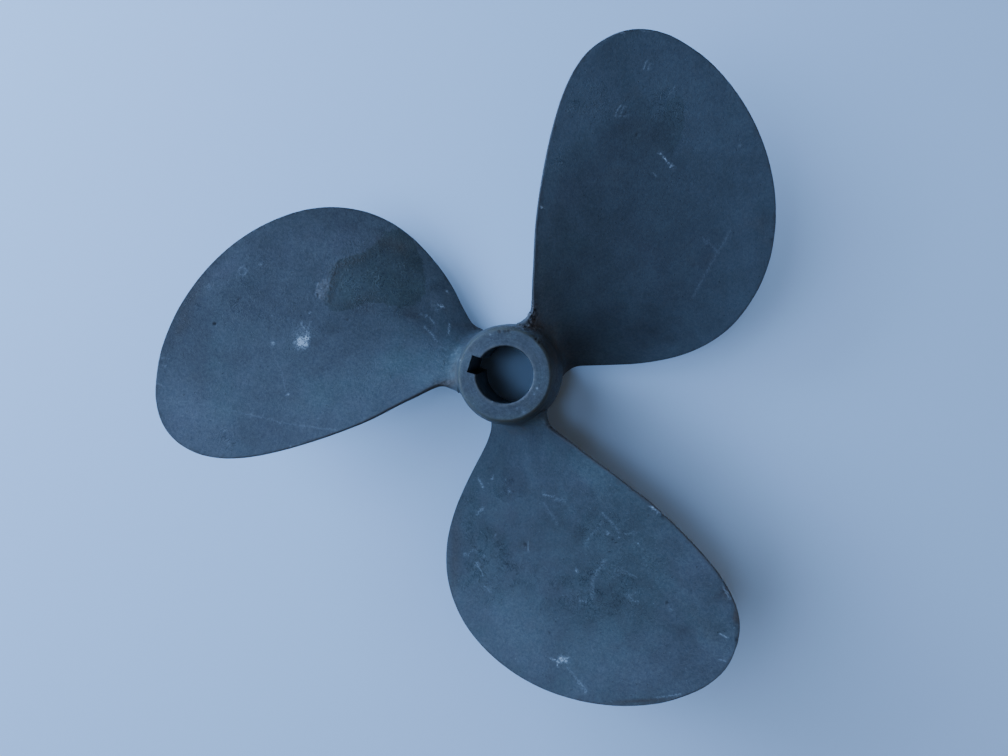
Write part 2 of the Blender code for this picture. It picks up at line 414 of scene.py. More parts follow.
def bore_profile():
    c = BORE_CHAMFER
    forward = BORE_AFT_RADIUS + BORE_TAPER * HUB_LENGTH
    points = [(0.0, CUT_OVER), (BORE_AFT_RADIUS + MOUTH_ROUND + 0.1 * MM, CUT_OVER)]
    for i in range(6):
        a = math.radians(5.0 + 17.0 * i)
        radius = BORE_AFT_RADIUS + MOUTH_ROUND * (1.0 - math.sin(a))
        points.append((radius, -MOUTH_ROUND * (1.0 - math.cos(a))))
    for i in range(1, 24):
        depth = c + (HUB_LENGTH - 2.0 * c) * i / 24
        points.append((BORE_AFT_RADIUS + BORE_TAPER * depth, -depth))
    points.append((forward - BORE_TAPER * c, -HUB_LENGTH + c))
    points.append((forward + c + CUT_OVER, -HUB_LENGTH - CUT_OVER))
    points.append((0.0, -HUB_LENGTH - CUT_OVER))
    return [(radius, height + ORIGIN_DEPTH) for radius, height in points]


def keyway_cutter():
    """Long box that leans with the bore wall, so that the floor of the slot follows the taper."""
    lean = math.atan(BORE_TAPER)
    reach = 16.0 * MM
    middle = BORE_AFT_RADIUS + BORE_TAPER * 0.5 * HUB_LENGTH + KEY_DEPTH
    size = Vector((reach, KEY_WIDTH, HUB_LENGTH + 12.0 * MM))
    centre = Vector((middle - 0.5 * reach * math.cos(lean), 0.0,
                     ORIGIN_DEPTH - 0.5 * HUB_LENGTH - 0.5 * reach * math.sin(lean)))
    made = new_object("keyway_cutter", [], [])
    bm = bmesh.new()
    bmesh.ops.create_cube(bm, size=1.0)
    bmesh.ops.transform(bm, verts=bm.verts, matrix=Matrix.Translation(centre)
                        @ Matrix.Rotation(-lean, 4, 'Y') @ Matrix.Diagonal(size).to_4x4())
    bm.to_mesh(made.data)
    bm.free()
    return made


def joined_casting():
    """Hub and blades joined, bored and slotted, as one mesh."""
    body = turned("hub_body", hub_profile(), HUB_STEPS)
    helpers = []
    for number in range(BLADE_COUNT):
        rings = [section(row, number) for row in blade_rows()]
        turn = FIRST_BLADE + 2.0 * math.pi * number / BLADE_COUNT
        helpers.append((blade("blade_%d" % number, rings, turn), 'UNION'))
    helpers.append((turned("bore_cutter", bore_profile(), HUB_STEPS), 'DIFFERENCE'))
    helpers.append((keyway_cutter(), 'DIFFERENCE'))
    for helper, operation in helpers:
        mod = body.modifiers.new(operation, 'BOOLEAN')
        mod.operation = operation
        mod.solver = 'MANIFOLD'
        mod.object = helper
    bpy.context.view_layer.update()
    made = bpy.data.meshes.new_from_object(body.evaluated_get(bpy.context.evaluated_depsgraph_get()))
    for helper, operation in helpers:
        bpy.data.objects.remove(helper, do_unlink=True)
    bpy.data.objects.remove(body, do_unlink=True)
    return made


# marks, listed by where they show in the photo

# rubbed and scratched lines: x and y of the points, width in pixels, how light
STROKES = [
    ([(304, 336), (307, 329), (311, 322)], 2.2, 0.2), ([(301, 325), (309, 333)], 1.8, 0.3),
    ([(232, 411), (255, 416), (278, 422), (310, 427), (337, 430)], 1.3, 0.08),
    ([(164, 401), (190, 402), (215, 407), (232, 411)], 1.3, 0.03),
    ([(280, 367), (283, 380), (286, 391)], 1.3, 0.06), ([(160, 357), (168, 359)], 1.3, 0.12),
    ([(159, 366), (166, 366)], 1.3, 0.1), ([(157, 384), (164, 386)], 1.3, 0.13),
    ([(429.7, 317), (433.8, 323)], 1.5, 0.25), ([(449.3, 323.5), (448.5, 334)], 1.3, 0.4),
    ([(424.6, 327), (431, 333), (436.6, 341.3)], 1.6, 0.22), ([(438, 305), (443.5, 307)], 1.5, 0.45),
    ([(440, 347), (449, 350), (457, 350)], 1.6, 0.1), ([(447, 357), (455, 354), (459, 348)], 1.4, 0.12),
    ([(444, 366), (450, 372), (452, 380)], 1.4, 0.05), ([(388, 300), (389, 306)], 1.3, 0.06),
    ([(647, 60.3), (643.5, 69)], 1.5, 0.22), ([(650.4, 63), (647.4, 70.7)], 1.4, 0.12),
    ([(675.4, 85.7), (670.2, 93)], 1.4, 0.12), ([(621, 105), (617, 110), (615.5, 116.3)], 1.5, 0.2),
    ([(624.5, 105), (622, 111), (620, 116)], 1.4, 0.13), ([(616.4, 116.3), (628.4, 115.5)], 1.6, 0.12),
    ([(663.3, 156.8), (666.3, 160.2)], 1.4, 0.8), ([(653.8, 173.2), (656.8, 176.6)], 1.4, 0.16),
    ([(730, 231), (712, 262), (693, 297)], 2.6, 0.06), ([(701.7, 236.7), (719, 253)], 1.3, 0.08),
    ([(608, 36), (616, 33.5), (624, 32.5)], 1.3, 0.18), ([(640, 30.5), (650, 31.5)], 1.2, 0.1),
    ([(543.4, 494.8), (553.4, 496.3)], 1.8, 0.13), ([(555, 499.6), (565.4, 500.6)], 3, 0.07),
    ([(544.4, 503), (550, 513), (557.8, 524)], 2.4, 0.04),
    ([(602.7, 513.5), (611, 522), (619, 532.6)], 2.6, 0.07), ([(638, 532), (624, 534.5)], 1.5, 0.08),
    ([(602.7, 522), (587.4, 540), (585.5, 546)], 2, 0.06), ([(528.2, 542), (528.4, 549)], 1.2, 0.12),
    ([(603.7, 561), (600.8, 567), (596, 572), (593, 579.5), (591.7, 588), (592.7, 597.7)], 3.4, 0.075),
    ([(580, 600.6), (585.5, 601.5)], 2, 0.12), ([(624.3, 570.4), (637, 577.6)], 1.2, 0.07),
    ([(629, 595.8), (633.8, 601), (639, 601.5)], 1.3, 0.11), ([(629, 595.8), (636, 593)], 1.3, 0.06),
    ([(567.5, 667.5), (572, 673), (579, 682)], 1.8, 0.09), ([(579, 682), (585.5, 691)], 3.4, 0.15),
    ([(554.5, 660), (560, 662), (568, 657)], 1.5, 0.5), ([(557, 665), (562, 658), (566.5, 662)], 1.4, 0.4),
    ([(478.5, 478.8), (481.8, 484.5)], 2, 0.2), ([(477.5, 513.3), (482.3, 508.5)], 3, 0.18),
    ([(476, 565), (481, 570), (482.5, 576)], 1.4, 0.14), ([(484, 586), (492, 592)], 1.6, 0.12),
    ([(468, 556), (474, 549), (478, 551)], 1.3, 0.1), ([(720, 634), (728, 638)], 1.5, 0.3),
    ([(719, 659.5), (725.5, 661)], 1.3, 0.14), ([(651, 507), (656, 510.5), (662, 513.5)], 1.4, 0.35),
    ([(723, 587), (728, 593)], 1.2, 0.16), ([(725, 592), (730, 598)], 1.2, 0.14),
    ([(658, 697.5), (668, 696), (680, 694)], 1.4, 0.12), ([(668, 605.5), (672, 610)], 1.2, 0.06),
]
# rubbed spots and specks: x, y, radius in pixels, how light
SPECKS = [
    (301.5, 342, 6, 1.7), (306.5, 338, 3.6, 1.1), (305, 344, 3.6, 1.2), (273, 343, 2.4, 0.42),
    (302, 335, 10, 0.2), (309.8, 312.6, 1.3, 0.35), (350.5, 332.7, 1.4, 0.15), (261, 264, 1.6, 0.22),
    (271.5, 315, 2, 0.16), (209, 287, 3, 0.14), (441, 306, 1.6, 1.1), (437, 310, 2, 0.25),
    (447, 291, 1.2, 0.6), (421, 313.7, 1.5, 0.18), (426, 316, 1.8, 0.4), (424.6, 326.4, 1.3, 0.3),
    (435, 305, 7, 0.1), (288.5, 394.5, 1.2, 0.35), (225, 431, 2.4, 0.14), (228, 443, 3.4, 0.08),
    (291, 446, 1.4, 0.2), (660.7, 153.4, 1.3, 0.5), (668.5, 162.7, 1.3, 0.5), (672, 166.3, 1.8, 0.9),
    (740, 146, 1.6, 0.16), (541.5, 207, 1.5, 1), (608, 533.3, 1.7, 0.42), (619, 537.4, 1.6, 0.16),
    (576.6, 571, 1.4, 0.5), (638, 543, 1.4, 0.18), (653, 507.8, 1.5, 0.6), (619, 572, 6.5, 0.05),
    (561.5, 659, 3.4, 0.62), (566, 661, 2, 0.45), (482.8, 487, 1.5, 0.25), (492.6, 478.5, 1.6, 0.26),
    (509, 491, 2, 0.16), (495.2, 535.3, 1.5, 0.1), (465.4, 554, 1.7, 0.2), (477.2, 564.5, 2.2, 0.24),
    (484, 556.3, 1.8, 0.22), (537, 388, 1.3, 0.55), (534.5, 394, 1.2, 0.2), (524, 412, 2.2, 0.18),
    (517, 408.5, 1.6, 0.14), (490, 334.5, 1.3, 0.3), (459.5, 360, 1.4, 0.9), (482, 404, 1.4, 0.1),
    (531.5, 309, 1.4, 0.08), (534.5, 303, 1.4, 0.05), (529, 317, 1.6, 0.05),
]
# pits and dark pricks: x, y, radius in pixels, depth in millimetres
PITS = [
    (215, 323.7, 1.8, 0.45), (238.5, 299.3, 1.4, 0.2), (348, 320, 1.8, 0.2), (320, 282, 1.2, 0.1),
    (317.5, 295, 1.2, 0.1), (342, 290, 2.4, 0.12), (637, 135.3, 1.6, 0.2), (644, 87, 1.4, 0.15),
    (525.4, 545.5, 2, 0.28), (667, 604, 2, 0.35), (678, 617, 1.6, 0.06), (613, 540, 1.3, 0.25),
    (616, 543.5, 1.3, 0.25), (610.5, 548.5, 1.3, 0.1), (609, 552, 1.2, 0.25), (550.5, 633, 1.4, 0.25),
    (564.5, 654.5, 1.4, 0.15), (500, 331.5, 1.8, 0.3), (505.5, 332, 1.8, 0.25), (509.5, 331.5, 1.6, 0.3),
    (536.5, 339, 1.6, 0.4), (540, 343, 1.6, 0.3), (530.2, 322, 1.6, 0.8), (531.8, 316.5, 1.4, 0.7),
    (535.4, 310.8, 1.3, 0.7), (534.6, 319.5, 1.4, 0.6), (533, 326, 1.4, 0.4), (442.5, 383.5, 1.3, 0.1),
]
# chips out of the rim: x, y, reach in pixels, depth in millimetres
CHIPS = [
    (541, 207, 2.6, 0.55), (663, 515, 3.2, 0.6), (724, 590, 2.6, 0.45), (737, 640, 2.5, 0.3),
    (186, 437, 2.5, 0.3), (772, 240, 2.4, 0.3), (463, 497, 2.4, 0.3),
]
# rough skin, mostly where the trailing edges run into the hub: x, y, half-widths, height in millimetres
ROUGH = [
    (532, 313, 6, 17, 0.4), (445, 383, 13, 4, 0.18), (552, 424, 10, 5, 0.18), (561, 388, 8, 26, 0.14),
    (524, 327, 20, 4, 0.2), (541, 342, 9, 13, 0.08), (500, 328, 26, 4, 0.16),
]
# where the skin of the patina has crackled: x, y, half-widths, strength
CRACKLE = [
    (372, 278, 46, 34, 1), (446, 358, 20, 24, 0.9), (485, 562, 28, 36, 0.9), (468, 515, 14, 40, 0.7),
    (600, 525, 26, 20, 0.6), (592, 590, 45, 26, 0.9), (515, 572, 24, 16, 0.8), (505, 490, 22, 16, 0.8),
    (590, 100, 26, 18, 0.6), (672, 105, 22, 20, 0.7), (560, 160, 16, 12, 0.4), (255, 300, 60, 50, 0.4),
    (385, 380, 30, 20, 0.5), (190, 290, 25, 60, 0.5), (225, 440, 14, 12, 0.7), (640, 560, 30, 14, 0.5),
    (300, 335, 26, 22, 0.5), (505, 330, 30, 8, 0.8),
]
# the upper blade has a calmer skin: x, y, half-widths
CALM = (660, 195, 125, 175)
# soft patches of tone, some of them painted light and shade as marked below: x, y, half-widths, turn in
# degrees, lighter, greener, browner
TONE_AND_LIGHT_PATCHES = [
    # painted light and shade: the left blade lighter all over and the lower blade darker all over, for the
    # way the light falls on each
    (320, 320, 170, 120, 0, 0.3), (590, 560, 150, 170, 20, -0.68, 0.48),
    (185, 410, 24, 36, 10, 0.45, -0.25), (199, 375, 10, 50, 0, -0.16, 0, 0.25),
    (222, 380, 16, 52, 0, 0.14, 0.45), (228, 268, 36, 15, 45, 0.26, -0.35),
    (330, 388, 62, 20, 26, 0.2, 0.5), (405, 356, 40, 15, 24, 0.26, 0.35),
    (338, 330, 34, 12, 20, -0.22, -0.1, 0.1), (320, 240, 60, 26, 0, 0.45, -0.25),
    (250, 430, 60, 14, 0, -0.06, -0.3), (351, 285, 22, 17, 0, 0.56, -0.1),
    (394, 244, 26, 12, -10, 0.1, 0, 0.6), (335, 284, 11, 20, 0, 0.34, 0, 0.25),
    (350, 262, 18, 7, 20, 0.16, 0, 0.25), (410, 314, 16, 8, -20, -0.4, 0, 0.2),
    (448, 310, 30, 16, -60, 0.1, -0.1, 0.15), (438, 362, 36, 19, 26, 0.75, 0.45),
    (453, 370, 8, 18, -15, 0.2, 0.7, 0.3), (340, 425, 50, 12, 20, -0.16, 0, 0.1),
    (446, 384, 16, 4, 10, -0.35, 0, 1), (178, 330, 10, 44, -25, -0.14, 0.1, 0.35),
    (196, 290, 10, 30, -40, -0.1, 0.1, 0.35), (582, 112, 20, 50, -15, 0.32, 0.1),
    (696, 110, 36, 62, 15, 0.24, 0.05), (748, 190, 24, 70, -5, -0.06), (670, 215, 50, 50, 0, -0.12),
    (765, 245, 12, 40, -10, -0.3, 0, 0.2), (545, 210, 12, 70, -5, 0.26, -0.05),
    (634, 134, 20, 18, 0, -0.16, 0.4, 0.3), (618, 112, 18, 18, 0, 0.05, -0.05, 0.1),
    (575, 190, 34, 16, 20, -0.02, -0.3, 0.1), (566, 262, 32, 50, 0, 0.08, 0.25),
    (655, 250, 34, 70, 8, -0.04, -0.35, 0.1), (664, 236, 12, 26, 10, 0.14, 0.4),
    # the last patch here and the first on the next line darken the upper blade's root and lower side: partly
    # darker patina, partly painted shadow
    (704, 250, 18, 60, 12, -0.14, -0.3, 0.1), (580, 335, 40, 26, 12, -0.2, 0.15),
    (655, 322, 70, 34, 10, -0.4, -0.05), (500, 625, 62, 32, -38, 0.34), (600, 655, 36, 22, 0, 0.3, -0.1),
    (655, 672, 45, 16, 8, 0.2, -0.45), (612, 480, 62, 22, -40, 0.22, 0.4),
    (580, 482, 14, 9, 0, 0.12, -0.35), (522, 488, 18, 40, -20, -0.08, -0.2),
    (550, 530, 40, 20, -12, -0.2, 0, 0.15), (548, 580, 26, 26, 0, 0, -0.15),
    (628, 598, 42, 28, 30, -0.1, 0.45), (700, 560, 20, 42, -40, 0.1, -0.45),
    (526, 545, 10, 8, 0, -0.2, 0, 0.3), (478, 545, 26, 60, 6, -0.16, 0.5),
    (456, 545, 7, 34, 0, -0.05, -0.1, 0.6), (505, 445, 20, 18, 0, -0.05, 0, 0.1),
    (726, 592, 6, 9, 0, -0.2, 0, 0.7), (737, 616, 3, 8, 0, 0.3, 0, 1.6),
    (640, 701, 40, 2.5, 4, -0.2, 0, 0.9), (500, 326, 36, 4, 0, -0.22, 0.3, 1),
    # painted light: the hub's right flank, which lies in shade, made lighter, with a painted highlight along
    # its widest ring
    (554, 380, 6, 36, 0, 0, 0.3, 0.7), (556, 358, 1.6, 16, 0, 0.9, 0, 1),
    (535, 322, 8, 12, 0, 0.25, 0, 0.9), (457, 372, 3, 26, 0, 0.3, 0.8, 0.3),
    (500, 421, 30, 3, 0, 0, 0.5, 0.6), (708, 605, 28, 44, -15, -0.16, 0, 0.1),
    (500, 474, 14, 24, -15, -0.26, -0.1, 0.1), (532, 500, 14, 16, 0, -0.16, 0, 0.1),
    (500, 546, 12, 18, 0, -0.12), (576, 456, 18, 8, -38, -0.2, 0, 0.1), (453, 588, 5, 30, 0, -0.16, 0, 0.4),
    (606, 545, 36, 46, 0, 0.1, 0.25), (556, 150, 14, 60, -8, 0.2), (541, 326, 13, 20, 0, 0.9),
    (742, 282, 16, 20, 0, -0.22, 0, 0.1), (408, 243, 12, 9, -40, 0.3), (432, 290, 12, 16, -20, 0.16),
    (240, 247, 14, 10, 30, 0.2), (208, 278, 12, 20, -30, 0.1, -0.1), (198, 404, 14, 20, 0, 0.12, -0.2),
    (424, 345, 16, 8, 0, 0, -0.35, 0.1), (520, 422, 28, 6, 0, 0.7, 0.4), (470, 344, 9, 9, 0, -0.1, 0, 0.4),
    # the first patch here is painted light on the hub's right flank, which the light does not reach
    (555, 345, 6, 22, 0, 0.9, 0.1, 0.2), (467, 386, 8, 18, 0, -0.2), (434, 375, 16, 6, 20, 0.5, 0.2, 0.3),
    (656, 140, 18, 15, 0, -0.16, 0, 0.1), (419, 288, 7, 18, 0, 0.3, 0.1, -0.2), (700, 125, 12, 34, 0, 0.1),
]
# the dark stain on the left blade, and a fainter one on the upper blade, crisp on its right side only
STAIN = [
    (383, 232), (393, 229), (403, 231), (415, 242), (423, 261), (425.5, 279), (426, 295), (415, 306),
    (403, 307.5), (392, 307), (382.6, 304), (373.5, 303), (363, 303.5), (354, 309), (339, 312.6),
    (328, 308), (323, 301), (326, 291), (329, 279), (331, 266), (337, 261), (346, 258), (355, 255),
    (364, 252), (373.5, 245), (379, 239),
]
FAINT_STAIN = [
    (676, 95), (683, 97), (684.5, 112), (683, 130), (680.5, 141), (672, 153), (662, 150), (650, 158),
    (636, 152), (622, 146), (620, 130), (632, 118), (640, 112), (652, 118), (660, 122), (664, 110),
    (668, 100),
]
# the pale crust beside the first
CRUST = [
    (314.5, 291), (318, 282.5), (323, 278.5), (327.5, 278), (329, 285), (326, 293), (325.5, 300),
    (321, 301.5), (316, 297),
]
# faint ring on the left blade: x, y, radius
RING_MARK = (242.8, 271.0, 3.8)
# the dark stain's rind shows left of an x and above a y, and the faint stain comes in from one x to another
RIND_RIGHT = 395.0
RIND_BOTTOM = 300.0
FAINT_FROM = (635.0, 675.0)
# where the lighter line on the aft face's outer corner is strongest, on the side towards the light: partly
# rubbed bare, partly a painted highlight; x, y, half-widths
HIGHLIT_CORNER = (459, 378, 16, 36)
# how far the marks wander in pixels, and over what size in millimetres
WANDER = ((0.7, 2.2), (0.6, 0.8))
# relief in millimetres
SCRATCH_DEPTH = 0.035
CRUMB_HEIGHT = 0.55
RING_HEIGHT = 0.05
PIXEL_MM = 0.46                # what a pixel covers on the blades
# cosines between a face and the camera's view of it, from edge-on to well seen
WELL_SEEN = (0.04, 0.20)

# the line where the blades' fillets meet the hub, and how it is smoothed
SEAM_OFF_HUB = 0.3 * MM
SEAM_CLEAR = 3.0 * MM          # of the two ends of the hub
SEAM_CREASE = math.radians(4.0)
SEAM_RADII = (20.0 * MM, 36.0 * MM)
SEAM_REACH = 1.8 * MM
SEAM_PASSES = 8

# where faces count as machined, and which of their corners stay crisp
TURNED_WITHIN = 26.0 * MM
BORED_WITHIN = 20.5 * MM
CRISP_CORNER = math.radians(28.0)


# measuring and moving the mesh

def smooth_ramp(values, low, high):
    share = np.clip((values - low) / (high - low), 0.0, 1.0)
    return share * share * (3.0 - 2.0 * share)


def read_points(mesh, kind="co"):
    flat = np.empty(3 * len(mesh.vertices))
    mesh.vertices.foreach_get(kind, flat)
    return flat.reshape(-1, 3)


def write_points(mesh, points):
    mesh.vertices.foreach_set("co", points.ravel())
    mesh.update()


def face_normals(points):
    """Normals that the pressure face of a blade has above or below each point."""
    radius = np.maximum(np.hypot(points[:, 0], points[:, 1]), 1e-6)
    out = points[:, :2] / radius[:, None]
    turn = PITCH_PER_RADIAN / radius
    rake = math.tan(RAKE)
    normals = np.stack([out[:, 1] * turn - out[:, 0] * rake, -out[:, 0] * turn - out[:, 1] * rake,
                        np.ones(len(points))], axis=1)
    return normals / np.linalg.norm(normals, axis=1)[:, None]


def rim_distance(points):
    """Distance seen along the shaft from each point to the nearest blade outline."""
    tree = kdtree.KDTree(BLADE_COUNT * 2 * OUTLINE_POINTS)
    count = 0
    for number in range(BLADE_COUNT):
        turn = FIRST_BLADE + 2.0 * math.pi * number / BLADE_COUNT
        for i in range(OUTLINE_POINTS):
            share = math.sin(0.5 * math.pi * (i + 1) / OUTLINE_POINTS)
            radius = OUTLINE_START + (TIP_RADIUS - OUTLINE_START) * share
            for angle in edge_angles(radius, number):
                tree.insert((radius * math.cos(angle + turn), radius * math.sin(angle + turn), 0.0), count)
                count += 1
    tree.balance()
    return np.array([tree.find((x, y, 0.0))[2] for x, y, z in points])


def rough_noise(points, size, octaves):
    """Fractal noise, about -1 to 1, with lumps of a size in millimetres."""
    scale = 1.0 / (size * MM)
    return np.array([noise.fractal(Vector(p) * scale, 1.0, 2.0, octaves) for p in points])


def chip_direction(point):
    """Level direction from a point on the rim to the middle of its blade."""
    radius = math.hypot(point.x, point.y)
    middle = math.atan2(point.y, point.x) - blade_angle(point.x, point.y)
    middle += math.radians(smooth_through(MID_LINE, radius / TIP_RADIUS))
    target = Vector((0.8 * radius * math.cos(middle), 0.8 * radius * math.sin(middle), point.z))
    return (target - point).normalized()


class Surface:
    """Points of the casting's mesh, where each lies in the photo, and what the marks do to it."""

    def __init__(self, mesh):
        self.points = read_points(mesh)
        self.normals = read_points(mesh, "normal")
        self.radius = np.hypot(self.points[:, 0], self.points[:, 1])
        self.depth = ORIGIN_DEPTH - self.points[:, 2]
        self.pixels = to_photo(self.points)
        self.seen = self.photo_side()
        self.move = np.zeros(len(self.points))      # along the normals, in millimetres
        self.masks = {}

    def photo_side(self):
        """1 where the photo's camera looks at the outside of the casting, fading where it sees it edge-on."""
        view = np.array(CAMERA_PLACE) - self.points
        view /= np.linalg.norm(view, axis=1)[:, None]
        outside = self.radius > BORE_AFT_RADIUS + 0.3 * MM
        return smooth_ramp((view * self.normals).sum(axis=1), *WELL_SEEN) * outside

    def noise(self, size, octaves):
        return rough_noise(self.points, size, octaves)

    def wander(self):
        """Lets the marks wander a little, so that none is ruled or round."""
        for reach, size in WANDER:
            drift = [self.noise(size, 2), rough_noise(self.points + 0.7, size, 2)]
            self.pixels = self.pixels + reach * np.stack(drift, axis=1)

    def to_line(self, points):
        """Pixels from each point to a line through the given points."""
        best = np.full(len(self.pixels), 1e9)
        for a, b in zip(points, points[1:]):
            a = np.array(a, float)
            step = np.array(b, float) - a
            share = np.clip(((self.pixels - a) @ step) / (step @ step), 0.0, 1.0)
            best = np.minimum(best, np.linalg.norm(self.pixels - a - share[:, None] * step, axis=1))
        return best

    def to_outline(self, points):
        """Pixels to a closed outline, positive inside it."""
        closed = points + points[:1]
        inside = np.zeros(len(self.pixels), bool)
        for (ax, ay), (bx, by) in zip(closed, closed[1:]):
            crosses = (ay > self.pixels[:, 1]) != (by > self.pixels[:, 1])
            if ay != by:
                x = ax + (self.pixels[:, 1] - ay) * (bx - ax) / (by - ay)
                inside ^= crosses & (self.pixels[:, 0] < x)
        distance = self.to_line(closed)
        return np.where(inside, distance, -distance)

    def to_spot(self, x, y):
        return np.hypot(self.pixels[:, 0] - x, self.pixels[:, 1] - y)

    def to_ring(self):
        """Pixels from each point to the ring mark's line, positive outside it."""
        x, y, radius = RING_MARK
        return self.to_spot(x, y) - radius

    def spot(self, x, y, reach):
        """1 in the middle of a spot, fading smoothly outwards."""
        return np.exp(-(self.to_spot(x, y) / reach) ** 2)

    def oval(self, x, y, half_x, half_y, turn=0.0):
        """1 in the middle of an oval, fading smoothly outwards."""
        a = math.radians(turn)
        dx = self.pixels[:, 0] - x
        dy = y - self.pixels[:, 1]
        along = (dx * math.cos(a) + dy * math.sin(a)) / half_x
        across = (-dx * math.sin(a) + dy * math.cos(a)) / half_y
        return np.exp(-(along ** 2 + across ** 2))

    def mark(self, name, share):
        """Raises a mask to a share wherever it is lower."""
        self.masks[name] = np.maximum(self.masks.get(name, 0.0), share)


# making the surface

def on_hub_side(point):
    """Whether a point lies on the outside of the hub, clear of its ends."""
    radius = math.hypot(point.x, point.y)
    gap = hub_gap(radius, point.z - ORIGIN_DEPTH)
    clear = cad_low.z + SEAM_CLEAR < point.z < ORIGIN_DEPTH - SEAM_CLEAR
    return radius > HUB_AFT_RADIUS - 0.5 * MM and abs(gap) < SEAM_OFF_HUB and clear


def smooth_root_line(bm):
    """Runs the fillets into the hub without the crease that joining leaves."""
    seam = kdtree.KDTree(len(bm.edges))
    for index, edge in enumerate(bm.edges):
        middle = (edge.verts[0].co + edge.verts[1].co) * 0.5
        if on_hub_side(middle) and len(edge.link_faces) == 2 and edge.calc_face_angle(0.0) > SEAM_CREASE:
            seam.insert(middle, index)
    seam.balance()
    near = []
    for vert in bm.verts:
        if SEAM_RADII[0] < math.hypot(vert.co.x, vert.co.y) < SEAM_RADII[1]:
            distance = seam.find(vert.co)[2]
            if distance is not None and distance < SEAM_REACH:
                near.append(vert)
    for attempt in range(SEAM_PASSES):
        bmesh.ops.smooth_vert(bm, verts=near, factor=0.5, use_axis_x=True, use_axis_y=True, use_axis_z=True)


def flatten_hub(mesh):
    """Presses the hub's side in between two blades, fading out towards its ends and the blades."""
    s = Surface(mesh)
    bearing, half_width, drop = HUB_FLAT
    turn = np.angle(np.exp(1j * (np.arctan2(s.points[:, 1], s.points[:, 0]) - bearing)))
    share = np.exp(-(turn / half_width) ** 2) * smooth_ramp(s.depth, 3.0 * MM, 18.0 * MM)
    share *= smooth_ramp(HUB_LENGTH - s.depth, 0.0, 8.0 * MM)
    share *= smooth_ramp(s.radius, 20.5 * MM, 22.5 * MM) * smooth_ramp(36.0 * MM - s.radius, 0.0, 8.0 * MM)
    s.points[:, :2] *= (1.0 - drop * share / np.maximum(s.radius, 1.0 * MM))[:, None]
    write_points(mesh, s.points)


def needs_finer(s, margin):
    """Where marks are small next to the mesh."""
    wanted = s.to_outline(CRUST) > -margin
    for line, width, strength in STROKES:
        wanted |= s.to_line(line) < margin + 0.6 * width
    for x, y, reach, strength in SPECKS + PITS + CHIPS:
        wanted |= s.to_spot(x, y) < margin + reach
    for x, y, half_x, half_y, height in ROUGH:
        wanted |= s.oval(x, y, half_x, half_y) > 0.35
    wanted |= np.abs(s.to_ring()) < 1.0 + margin
    dark = s.to_outline(STAIN)
    rind = (s.pixels[:, 0] < RIND_RIGHT - 10.0) & (s.pixels[:, 1] < RIND_BOTTOM + 5.0)
    wanted |= (dark > -margin) & (dark < 4.0 + margin) & rind
    return wanted & (s.seen > 0.05)


def refine(mesh):
    """Splits long edges where the marks are."""
    for longest, margin in FINER:
        wanted = needs_finer(Surface(mesh), margin)
        bm = bmesh.new()
        bm.from_mesh(mesh)
        edges = [e for e in bm.edges
                 if wanted[e.verts[0].index] and wanted[e.verts[1].index] and e.calc_length() > longest]
        bmesh.ops.subdivide_edges(bm, edges=edges, cuts=1, use_grid_fill=True)
        bmesh.ops.triangulate(bm, faces=[f for f in bm.faces if len(f.verts) > 4])
        bm.to_mesh(mesh)
        bm.free()


def cast_share(s):
    """1 where the surface is as cast, 0 where it was turned or bored."""
    bore = BORE_AFT_RADIUS + BORE_TAPER * s.depth
    hub = np.array([hub_radius(min(max(depth, 0.0), HUB_LENGTH)) for depth in s.depth])
    machined = (s.radius < bore + KEY_DEPTH + 0.5 * MM) & (s.radius <= hub - 1.5 * MM)
    machined |= (s.depth < 0.05 * MM) & (s.radius < HUB_AFT_RADIUS)
    machined |= s.depth > HUB_LENGTH - 0.05 * MM
    ends = smooth_ramp(s.depth, 0.1 * MM, 2.0 * MM) * smooth_ramp(HUB_LENGTH - s.depth, 0.1 * MM, 2.0 * MM)
    return np.where(s.radius > 30.0 * MM, 1.0, ends) * ~machined


def rub(s):
    """Scratches, rubbed lines and rubbed specks."""
    for line, width, strength in STROKES:
        profile = np.exp(-(s.to_line(line) / (0.55 * width)) ** 2)
        s.mark("light", strength * profile)
        s.move -= SCRATCH_DEPTH * min(1.0, 5.0 * strength) * profile * s.seen
    for x, y, reach, strength in SPECKS:
        s.mark("light", strength * s.spot(x, y, 0.8 * reach))


def pit(s):
    """Pits and dark pricks."""
    for x, y, reach, drop in PITS:
        profile = s.spot(x, y, 0.8 * reach)
        s.mark("dark", profile * min(1.0, 2.0 * drop))
        s.move -= drop * profile * s.seen


def roughen(s, cast, lumps, grain):
    """Rough skin of the casting, and where the patina has crackled."""
    for x, y, half_x, half_y, height in ROUGH:
        share = s.oval(x, y, half_x, half_y) * s.seen * cast
        s.mark("rough", share * min(1.0, height / 0.3))
        s.move += height * share * (0.7 * lumps + 0.9 * grain)
    rough = s.masks["rough"]
    crumbs = np.zeros(len(rough))
    coarse = np.nonzero(rough > 0.05)[0]
    crumbs[coarse] = rough_noise(s.points[coarse], 1.0, 2)
    s.move += CRUMB_HEIGHT * rough * crumbs
    for x, y, half_x, half_y, strength in CRACKLE:
        s.mark("crackle", strength * s.oval(x, y, half_x, half_y) * s.seen)


